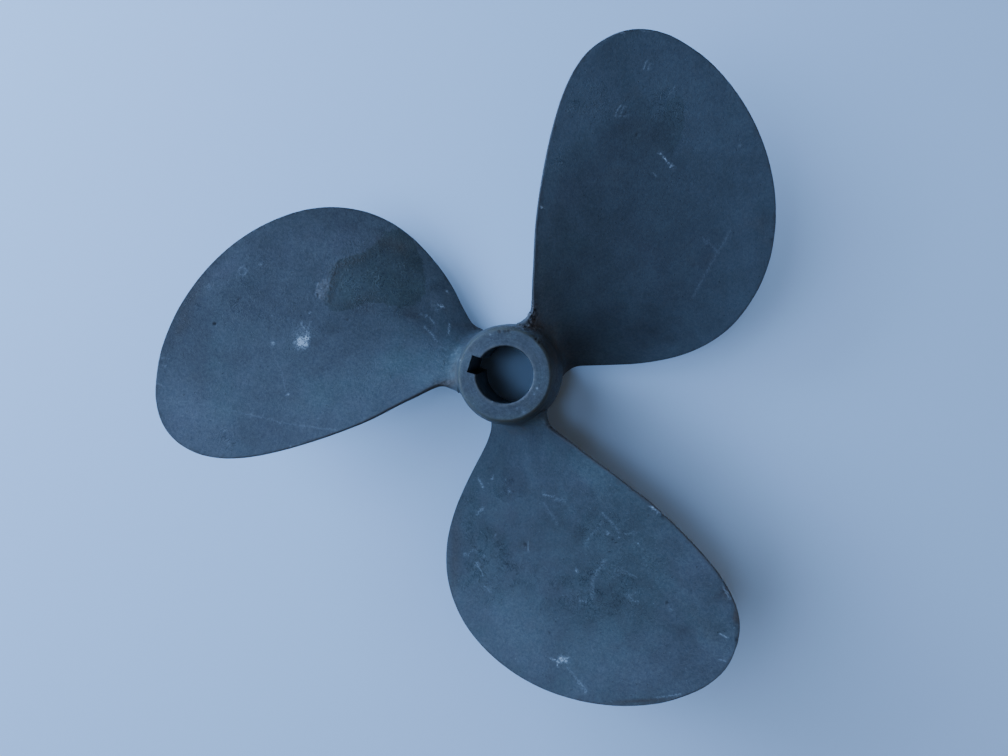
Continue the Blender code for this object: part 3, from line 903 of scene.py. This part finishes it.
def stain(s, grain):
    """The two stains, the crusty rind of the dark one, the pale crust beside it, and the ring mark."""
    x, y = s.pixels.T
    crust = smooth_ramp(s.to_outline(CRUST), -0.5, 1.5) * s.seen
    s.move += crust * (0.12 + 0.22 * grain)
    dark = s.to_outline(STAIN)
    faint = s.to_outline(FAINT_STAIN)
    rind = np.exp(-((dark - 4.0) / 5.0) ** 2) * smooth_ramp(RIND_RIGHT - x, 0.0, 45.0)
    rind *= smooth_ramp(RIND_BOTTOM - y, -14.0, 6.0) * s.seen
    s.move += rind * (0.06 + 0.22 * np.maximum(grain, -0.2))
    ring = np.exp(-(s.to_ring() / 1.1) ** 2) * s.seen
    s.move += RING_HEIGHT * ring
    s.mark("light", 0.15 * ring)
    s.masks["crust"] = crust
    s.masks["rind"] = rind
    s.masks["stain"] = np.where(s.seen > 0.5, np.maximum(dark, faint) * PIXEL_MM, -9.0)
    s.masks["stained"] = np.where(faint > dark, 0.5 * smooth_ramp(x, *FAINT_FROM), 1.0)


def tint_and_paint_light(s):
    """Soft patches of tone and of painted light and shade, and where the skin is calmer."""
    for x, y, half_x, half_y, turn, *shifts in TONE_AND_LIGHT_PATCHES:
        share = s.oval(x, y, half_x, half_y, turn) * s.seen
        for name, shift in zip(("lighter", "greener", "browner"), shifts):
            s.masks[name] = s.masks.get(name, 0.0) + shift * share
    x, y, half_x, half_y = CALM
    left = 1.2 - ((s.pixels[:, 0] - x) / half_x) ** 2 - ((s.pixels[:, 1] - y) / half_y) ** 2
    s.masks["calm"] = smooth_ramp(left, 0.0, 0.3) * s.seen


def wear_and_highlight_corners(s):
    """The two corners of the aft face made lighter, partly as rubbed bare and partly as a painted highlight
    where they catch the light, and the dirt below its rim.
    """
    # a lighter line on the outer corner, strongest towards the light, and one round the bore's mouth: partly
    # wear, partly a painted highlight
    worn = np.exp(-((s.radius - HUB_AFT_RADIUS + 0.3 * MM) / (0.35 * MM)) ** 2) * (s.depth < 1.2 * MM)
    worn *= 0.15 + 0.85 * s.oval(*HIGHLIT_CORNER)
    worn += np.exp(-((s.radius - BORE_AFT_RADIUS - 0.6 * MM) / (0.3 * MM)) ** 2) * (s.depth < 0.6 * MM)
    band = np.exp(-((s.radius - 21.4 * MM) / (1.3 * MM)) ** 2)
    s.masks["worn"] = worn
    s.masks["band"] = band * smooth_ramp(6.0 * MM - s.depth, 0.0, 4.0 * MM)


def chip(s, moved, rim):
    """Moves points of the rim inwards."""
    for x, y, reach, drop in CHIPS:
        share = s.spot(x, y, 0.7 * reach) * smooth_ramp(3.0 * MM - rim, 0.0, 2.0 * MM)
        nearest = s.points[int(np.argmin(s.to_spot(x, y) + 1e3 * (s.seen < 0.5)))]
        moved += np.array(chip_direction(Vector(nearest))) * (share * drop * MM)[:, None]
        s.mark("dark", 0.5 * share)


def wear_mesh(mesh):
    """Moves the points for the cast skin and the marks, and stores where each mark is."""
    s = Surface(mesh)
    cast = cast_share(s)
    rim = rim_distance(s.points)
    root = 1.0 - smooth_ramp(s.radius, 24.5 * MM, 36.0 * MM)
    flat = np.abs((s.normals * face_normals(s.points)).sum(axis=1))
    side = smooth_ramp(1.0 - flat, 0.25, 0.6) * smooth_ramp(s.radius, 29.0 * MM, 34.0 * MM)
    s.masks.update(rim=rim / MM, side=side, root=root, seen=s.seen)

    wide = s.noise(26.0, 2)
    lumps = s.noise(7.0, 3)
    grain = s.noise(2.2, 2)
    s.move = cast * (0.10 * wide + (0.045 + 0.05 * root) * lumps + (0.016 + 0.05 * root) * grain)
    s.wander()
    rub(s)
    pit(s)
    roughen(s, cast, lumps, grain)
    stain(s, grain)
    tint_and_paint_light(s)
    wear_and_highlight_corners(s)
    moved = s.points + s.normals * (s.move * MM)[:, None]
    chip(s, moved, rim)
    s.masks["light"] *= s.seen
    s.masks["dark"] *= s.seen
    write_points(mesh, np.clip(moved, np.array(cad_low), np.array(cad_high)))
    for name, values in s.masks.items():
        layer = mesh.attributes.new(name, 'FLOAT', 'POINT')
        layer.data.foreach_set("value", values.astype(np.float32))


def is_machined(centre, normal):
    """Whether a face at a place and with a normal is on a turned end, in the bore or in the keyway."""
    radius = math.hypot(centre.x, centre.y)
    depth = ORIGIN_DEPTH - centre.z
    on_end = abs(normal.z) > 0.99 and min(abs(depth), abs(HUB_LENGTH - depth)) < 0.1 * MM
    wall = BORE_AFT_RADIUS + BORE_TAPER * depth + KEY_DEPTH + 0.2 * MM
    bored = radius < wall and depth > 0.02 * MM and radius < BORED_WITHIN
    towards_axis = centre.x * normal.x + centre.y * normal.y < 0.0 or abs(normal.y) > 0.9
    return (on_end and radius < TURNED_WITHIN) or (bored and towards_axis)


def split_materials(mesh, cast, machined):
    """Turned faces, bore and keyway take the machined material, and their corners stay crisp."""
    mesh.materials.clear()
    mesh.materials.append(cast)
    mesh.materials.append(machined)
    bm = bmesh.new()
    bm.from_mesh(mesh)
    for face in bm.faces:
        face.material_index = int(is_machined(face.calc_center_median(), face.normal))
        face.smooth = True
    for edge in bm.edges:
        turned_edge = any(f.material_index == 1 for f in edge.link_faces)
        edge.smooth = not (turned_edge and edge.calc_face_angle(0.0) > CRISP_CORNER)
    bm.to_mesh(mesh)
    bm.free()


# materials

class Shader:
    """Short forms for building one material's nodes."""

    def __init__(self, name):
        self.material = bpy.data.materials.new(name)
        self.material.use_nodes = True
        self.tree = self.material.node_tree
        self.place = self.tree.nodes.new("ShaderNodeTexCoord").outputs["Object"]

    def node(self, kind, output=0, inputs=(), **settings):
        made = self.tree.nodes.new(kind)
        for key, value in settings.items():
            setattr(made, key, value)
        for socket, value in dict(inputs).items():
            self.give(made.inputs[socket], value)
        return made.outputs[output]

    def give(self, socket, value):
        if isinstance(value, bpy.types.NodeSocket):
            self.tree.links.new(value, socket)
        else:
            socket.default_value = value

    def attribute(self, name):
        return self.node("ShaderNodeAttribute", "Fac", attribute_name=name)

    def math(self, operation, a, b=0.0, c=0.0):
        return self.node("ShaderNodeMath", 0, {0: a, 1: b, 2: c}, operation=operation)

    def plus(self, a, b):
        return self.math('ADD', a, b)

    def times(self, first, *others):
        for other in others:
            first = self.math('MULTIPLY', first, other)
        return first

    def vector(self, operation, a, b):
        return self.node("ShaderNodeVectorMath", 0, {0: a, 1: b}, operation=operation)

    def scale(self, colour, factor):
        if not isinstance(colour, bpy.types.NodeSocket):
            colour = colour[:3]
        return self.node("ShaderNodeVectorMath", 0, {0: colour, "Scale": factor}, operation='SCALE')

    def ramp(self, value, low, high, to_low=0.0, to_high=1.0):
        """Smooth step of a value between two limits."""
        return self.node("ShaderNodeMapRange", 0, {"Value": value, "From Min": low, "From Max": high,
                                                    "To Min": to_low, "To Max": to_high},
                         interpolation_type='SMOOTHSTEP')

    def noise(self, size, detail, roughness=0.55, distortion=0.0, place=None):
        """Noise with features of about a size in millimetres."""
        return self.node("ShaderNodeTexNoise", 0, {
            "Vector": place or self.place, "Scale": 1000.0 / size, "Detail": detail,
            "Roughness": roughness, "Distortion": distortion})

    def spots(self, size, detail, roughness, *limits):
        """Smooth step of a noise."""
        return self.ramp(self.noise(size, detail, roughness), *limits)

    def mix(self, factor, a, b):
        made = self.tree.nodes.new("ShaderNodeMix")
        made.data_type = 'RGBA'
        for socket, value in ((0, factor), (6, a), (7, b)):
            self.give(made.inputs[socket], value)
        return made.outputs[2]

    def over(self, colour, layer, *shares):
        """A layer's colour over another, as much as its shares multiplied together."""
        return self.mix(self.times(*shares), colour, layer)

    def finish(self, colour, roughness, specular, relief, depth, strength):
        """Sets the surface, with a bump map of a depth in millimetres."""
        bump = self.node("ShaderNodeBump", 0, {
            "Strength": strength, "Distance": depth * MM, "Height": relief})
        surface = self.tree.nodes["Principled BSDF"].inputs
        for name, value in (("Base Color", colour), ("Roughness", roughness),
                            ("Specular IOR Level", specular), ("Normal", bump)):
            self.give(surface[name], value)
        return self.material


SLATE = (0.064, 0.083, 0.091, 1.0)
TEAL = (0.057, 0.086, 0.089, 1.0)
PURPLE = (0.070, 0.080, 0.095, 1.0)
DEEP = (0.048, 0.078, 0.095, 1.0)
FINE_GREY = (0.080, 0.088, 0.072, 1.0)
BROWN = (0.092, 0.074, 0.056, 1.0)
UMBER = (0.034, 0.031, 0.027, 1.0)
OLIVE = (0.080, 0.088, 0.062, 1.0)
EDGE_SIDE = (0.070, 0.068, 0.062, 1.0)
RUST = (0.052, 0.040, 0.031, 1.0)
STAIN_FILTER = (0.66, 0.74, 0.68)
RIND = (0.088, 0.086, 0.078, 1.0)
CRUST_BROWN = (0.145, 0.132, 0.115, 1.0)
CRUST_GREY = (0.150, 0.170, 0.172, 1.0)
RUBBED = (0.47, 0.59, 0.63, 1.0)
FLECK = (0.32, 0.40, 0.42, 1.0)
PIT_BLACK = (0.008, 0.010, 0.011, 1.0)
# lighter corners of the aft face: worn metal and painted highlight
WORN_HIGHLIGHT = (0.160, 0.168, 0.148, 1.0)
TOOL_RING = 0.42 * MM


def patina(s):
    """Slate patina, mottled from large clouds down to a fine speckle; also gives what its relief needs."""
    calm = s.attribute("calm")
    lively = s.math('MULTIPLY_ADD', calm, -0.35, 1.0)
    mottle = s.noise(7.0, 4.0, 0.6, 0.5)
    speckle = s.noise(1.3, 3.0, 0.7)
    grain = s.noise(0.55, 2.0, 0.5)
    lines = hairs(s)
    hue = s.plus(s.times(s.attribute("greener"), 0.9), s.spots(16.0, 1.5, 0.55, 0.3, 0.7, -0.12, 0.28))
    colour = s.mix(s.ramp(hue, 0.0, 0.8), SLATE, TEAL)
    colour = s.over(colour, PURPLE, s.ramp(hue, 0.0, -0.8))
    colour = s.over(colour, DEEP, calm, 0.45)
    drift = s.ramp(s.noise(17.0, 2.0, 0.5, 0.3), 0.3, 0.7, -0.085, 0.085)
    uneven = s.plus(drift, s.ramp(mottle, 0.3, 0.7, -0.10, 0.10))
    tone = s.math('MULTIPLY_ADD', s.noise(34.0, 3.0, 0.55, 0.4), 0.34, 0.83)
    tone = s.plus(tone, s.times(uneven, lively))
    # the patches' lighter and darker tones, some of them painted light and shade
    tone = s.math('MAXIMUM', s.plus(tone, s.times(s.attribute("lighter"), 0.62)), 0.1)
    brown = s.plus(s.attribute("browner"), s.spots(12.0, 2.0, 0.6, 0.5, 0.8, 0.0, 0.3))
    colour = s.scale(colour, tone)
    colour = s.over(colour, s.scale(BROWN, s.times(tone, 0.75)), s.ramp(brown, 0.05, 1.1, 0.0, 0.7))

    # the finest marks are grey on any ground
    fine = s.plus(s.ramp(speckle, 0.25, 0.75, -0.19, 0.19), s.ramp(grain, 0.25, 0.75, -0.10, 0.10))
    strength = s.math('MULTIPLY_ADD', s.attribute("crackle"), 0.36, 0.04)
    fine = s.plus(s.times(fine, lively), s.times(lines, strength))
    colour = s.vector('ADD', s.scale(FINE_GREY, s.times(fine, tone)), colour)
    return s.vector('MAXIMUM', colour, PIT_BLACK[:3]), mottle, speckle, grain, lines


def hairs(s):
    """Thin curling lines, some lighter and some darker, where the patina has cracked and healed."""
    total = None
    for size, width, sign in ((5.0, 0.030, 1.0), (3.4, 0.040, 0.8), (4.2, 0.034, -1.0)):
        line = s.math('ABSOLUTE', s.math('SUBTRACT', s.noise(size, 2.0, 0.6, 1.6), 0.5))
        line = s.times(s.ramp(line, 0.0, width, sign, 0.0), s.spots(size * 1.9, 2.0, 0.55, 0.46, 0.58))
        total = line if total is None else s.plus(total, line)
    return total


def cast_bronze():
    s = Shader("cast bronze")
    colour, mottle, speckle, grain, lines = patina(s)
    rim, rind, rough = [s.attribute(name) for name in ("rim", "rind", "rough")]

    # the side that the photo doesn't show has the same patina with broad brown clouds
    hidden = s.math('SUBTRACT', 1.0, s.attribute("seen"))
    colour = s.over(colour, BROWN, hidden, s.ramp(s.noise(28.0, 4.0, 0.6, 0.6), 0.48, 0.68), 0.45)

    # dark and brown patches along the rim, and the dark narrow side of the edge
    patchy = s.ramp(s.plus(s.noise(5.0, 3.0, 0.6), s.times(rim, -0.16)), 0.30, 0.50)
    colour = s.over(colour, UMBER, patchy, 0.35)
    colour = s.over(colour, RUST, s.ramp(rim, 0.9, 0.2), s.spots(7.0, 3.0, 0.6, 0.42, 0.58, 0.15, 1.0), 0.5)
    colour = s.over(colour, EDGE_SIDE, s.attribute("side"), 0.6)

    # the hub and the fillets keep more of the brown casting skin
    colour = s.over(colour, BROWN, s.attribute("root"), s.spots(8.0, 4.0, 0.65, 0.40, 0.70), 0.55)
    colour = s.over(colour, OLIVE, s.attribute("band"), s.spots(2.6, 4.0, 0.7, 0.34, 0.62, 0.25, 0.9))

    # stains with a crisp outline, the crusty rind of the dark one, and the pale crust beside it
    outline = s.plus(s.attribute("stain"), s.spots(2.4, 3.0, 0.6, 0.2, 0.8, -0.9, 0.9))
    colour = s.over(colour, s.vector('MULTIPLY', colour, STAIN_FILTER), s.ramp(outline, -0.25, 0.55),
                    s.attribute("stained"), s.spots(10.0, 3.0, 0.55, 0.3, 0.7, 0.70, 1.0))
    colour = s.over(colour, UMBER, rind, s.spots(1.3, 3.0, 0.7, 0.52, 0.62), 0.50)
    colour = s.over(colour, RIND, rind, s.spots(1.6, 3.0, 0.7, 0.60, 0.48), 0.45)
    colour = s.over(colour, CRUST_GREY, s.attribute("crust"), s.spots(1.4, 3.0, 0.7, 0.36, 0.56))

    # rough skin, pits, rubbed marks, and the aft face's corners made lighter: partly worn, partly a painted
    # highlight
    colour = s.over(colour, PIT_BLACK, rough, s.spots(1.5, 3.0, 0.7, 0.47, 0.56))
    colour = s.over(colour, CRUST_BROWN, rough, s.spots(1.1, 3.0, 0.7, 0.50, 0.42, 0.0, 0.8))
    colour = s.over(colour, PIT_BLACK, s.attribute("dark"))
    colour = s.over(colour, RUBBED, s.attribute("light"), s.spots(0.7, 2.0, 0.6, 0.36, 0.60, 0.10, 1.3))
    colour = s.over(colour, WORN_HIGHLIGHT, s.attribute("worn"), s.spots(3.0, 3.0, 0.6, 0.40, 0.62, 0.2, 0.7))

    # fine pricks and flecks all over
    pricks = s.spots(1.1, 1.0, 0.5, 0.70, 0.80)
    colour = s.over(colour, PIT_BLACK, pricks, 0.45)
    flecks = s.noise(1.3, 1.0, 0.5, 0.0, s.vector('MULTIPLY', s.place, (1.0, 1.3, 1.0)))
    flecks = s.math('SUBTRACT', flecks, s.times(s.attribute("calm"), 0.2))
    colour = s.over(colour, FLECK, s.ramp(flecks, 0.73, 0.83, 0.0, 0.16))

    height = s.math('MULTIPLY_ADD', speckle, 0.55, s.times(grain, 0.30))
    height = s.plus(height, s.times(s.noise(4.0, 3.0, 0.6), 0.9))
    height = s.math('SUBTRACT', height, s.times(pricks, 0.5))
    height = s.plus(height, s.times(lines, s.attribute("crackle")))
    height = s.plus(height, s.times(s.plus(rough, rind), s.times(speckle, 1.6)))
    return s.finish(colour, s.ramp(mottle, 0.3, 0.7, 0.56, 0.72), 0.35, height, 0.26, 0.8)


def machined_bronze():
    """Turned faces and bore under the same patina, with fine tool rings."""
    s = Shader("machined bronze")
    colour, mottle, speckle = patina(s)[:3]
    colour = s.over(colour, OLIVE, s.spots(6.0, 4.0, 0.6, 0.42, 0.70), 0.16)
    colour = s.over(colour, OLIVE, s.attribute("band"), s.spots(2.6, 4.0, 0.7, 0.34, 0.62, 0.2, 0.8))
    # the aft face's corners lighter: partly worn, partly a painted highlight
    colour = s.over(colour, WORN_HIGHLIGHT, s.attribute("worn"), s.spots(3.0, 3.0, 0.6, 0.40, 0.62, 0.2, 0.7))
    colour = s.over(colour, PIT_BLACK, s.attribute("dark"))
    colour = s.over(colour, RUBBED, s.attribute("light"))

    # rings: round the axis on the faces, and along it in the bore
    level = s.vector('MULTIPLY', s.place, (1.0, 1.0, 0.0))
    radius = s.node("ShaderNodeVectorMath", "Value", {0: level}, operation='LENGTH')
    across = s.plus(radius, s.node("ShaderNodeSeparateXYZ", "Z", {0: s.place}))
    rings = s.math('SINE', s.times(across, 2.0 * math.pi / TOOL_RING))
    scored = s.node("ShaderNodeTexNoise", 0, {"W": s.times(across, 1400.0), "Scale": 1.0, "Detail": 2.0},
                    noise_dimensions='1D')
    tone = s.math('MULTIPLY_ADD', s.math('SUBTRACT', scored, 0.5), 0.45, 0.96)
    tone = s.plus(tone, s.spots(2.2, 4.0, 0.65, 0.3, 0.7, -0.16, 0.16))
    colour = s.over(colour, FLECK, s.spots(1.0, 1.0, 0.5, 0.68, 0.80, 0.0, 0.25))
    relief = s.math('MULTIPLY_ADD', rings, 0.16, s.times(speckle, 0.8))
    relief = s.plus(relief, s.times(s.noise(3.0, 3.0, 0.6), 0.8))
    return s.finish(s.scale(colour, tone), s.ramp(mottle, 0.3, 0.7, 0.42, 0.6), 0.4, relief, 0.18, 0.5)


# the casting

def casting():
    mesh = joined_casting()
    bm = bmesh.new()
    bm.from_mesh(mesh)
    bmesh.ops.remove_doubles(bm, verts=bm.verts, dist=0.04 * MM)
    bmesh.ops.dissolve_degenerate(bm, edges=bm.edges, dist=0.02 * MM)
    bmesh.ops.triangulate(bm, faces=[f for f in bm.faces if len(f.verts) > 4])
    smooth_root_line(bm)
    bm.to_mesh(mesh)
    bm.free()
    flatten_hub(mesh)
    refine(mesh)
    wear_mesh(mesh)
    split_materials(mesh, cast_bronze(), machined_bronze())
    mesh.name = "propeller_casting"
    made = bpy.data.objects.new("propeller_casting", mesh)
    bpy.context.scene.collection.objects.link(made)
    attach(made, "root")
    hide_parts("propeller")


# floor, light and camera

FLOOR_SIZE = 8.0
FLOOR_BLUE = (0.61, 0.83, 0.97, 1.0)
BACKDROP_RADIUS = 1.9
BACKDROP_HEIGHT = 4.0
BACKDROP_BLUE = (0.30, 0.48, 0.84, 1.0)
SKY_COLOUR = (0.64, 0.56, 0.58, 1.0)
LIGHT_COLOUR = (0.35, 0.54, 1.0)
LIGHT_DISTANCE = 1.7
FLOOR_LIGHT = 5.7        # watts a square metre on the open floor
SKY_SHARE = 0.11
# area lights: degrees from the photo's right and from straight above, width, height, share of the light
SOFTBOXES = [
    ("key", 174, 41, 1.6, 1.4, 0.51),
    ("low_key", 142, 70, 1.4, 0.9, 0.26),
    ("top", 178, 8, 0.3, 0.3, 0.07),
]


def plain_material(name, values):
    made = bpy.data.materials.new(name)
    made.use_nodes = True
    for socket, value in values.items():
        made.node_tree.nodes["Principled BSDF"].inputs[socket].default_value = value
    return made


def floor():
    bpy.ops.mesh.primitive_plane_add(size=FLOOR_SIZE, location=(0.0, 0.0, cad_low.z))
    made = bpy.context.object
    made.name = "floor"
    made.data.materials.append(plain_material("floor paint", {"Base Color": FLOOR_BLUE, "Roughness": 0.6}))


def backdrop():
    """Pale wall round the floor for the low views; it neither lights the scene nor shades it."""
    bpy.ops.mesh.primitive_cylinder_add(
        vertices=96, radius=BACKDROP_RADIUS, depth=BACKDROP_HEIGHT, end_fill_type='NOTHING',
        location=(0.0, 0.0, cad_low.z + 0.5 * BACKDROP_HEIGHT))
    made = bpy.context.object
    made.name = "backdrop"
    made.data.materials.append(plain_material("backdrop", {
        "Base Color": (0.0, 0.0, 0.0, 1.0), "Specular IOR Level": 0.0,
        "Emission Color": BACKDROP_BLUE, "Emission Strength": 1.0}))
    made.visible_diffuse = False
    made.visible_glossy = False
    made.visible_shadow = False


def softbox(name, azimuth, zenith, width, height, share):
    """Area light at an angle from the photo's right and an angle from straight above."""
    level_right = CAMERA_TURN.transposed() @ Vector((1.0, 0.0, 0.0))
    level_right.z = 0.0
    level_right.normalize()
    level_up = Vector((0.0, 0.0, 1.0)).cross(level_right)
    azimuth = math.radians(azimuth)
    zenith = math.radians(zenith)
    level = level_right * math.cos(azimuth) + level_up * math.sin(azimuth)
    place = (level * math.sin(zenith) + Vector((0.0, 0.0, math.cos(zenith)))) * LIGHT_DISTANCE
    data = bpy.data.lights.new(name, 'AREA')
    data.shape = 'RECTANGLE'
    data.size = width
    data.size_y = height
    # the power that gives its share of the floor's light
    data.energy = math.pi * FLOOR_LIGHT * share * LIGHT_DISTANCE ** 2 / math.cos(zenith)
    data.color = LIGHT_COLOUR
    made = bpy.data.objects.new(name, data)
    made.location = place
    made.rotation_euler = (-place).to_track_quat('-Z', 'Y').to_euler()
    bpy.context.scene.collection.objects.link(made)


def sky():
    """Weak light from all round."""
    world = bpy.data.worlds.new("sky")
    world.use_nodes = True
    background = world.node_tree.nodes["Background"]
    background.inputs["Color"].default_value = SKY_COLOUR
    background.inputs["Strength"].default_value = FLOOR_LIGHT * SKY_SHARE / math.pi
    bpy.context.scene.world = world


def photo_camera():
    lens = bpy.data.cameras.new("photo_camera")
    lens.sensor_width = SENSOR_MM
    lens.lens = FOCAL_PX / PHOTO_WIDTH * SENSOR_MM
    lens.shift_x = (0.5 * PHOTO_WIDTH - CENTRE_PX[0]) / PHOTO_WIDTH
    lens.shift_y = (CENTRE_PX[1] - 0.5 * PHOTO_HEIGHT) / PHOTO_WIDTH
    lens.clip_start = 0.01
    camera = bpy.data.objects.new("photo_camera", lens)
    camera.matrix_world = Matrix.Translation(CAMERA_PLACE) @ CAMERA_TURN.transposed().to_4x4()
    bpy.context.scene.collection.objects.link(camera)
    bpy.context.scene.camera = camera


casting()
floor()
backdrop()
for settings in SOFTBOXES:
    softbox(*settings)
sky()
photo_camera()
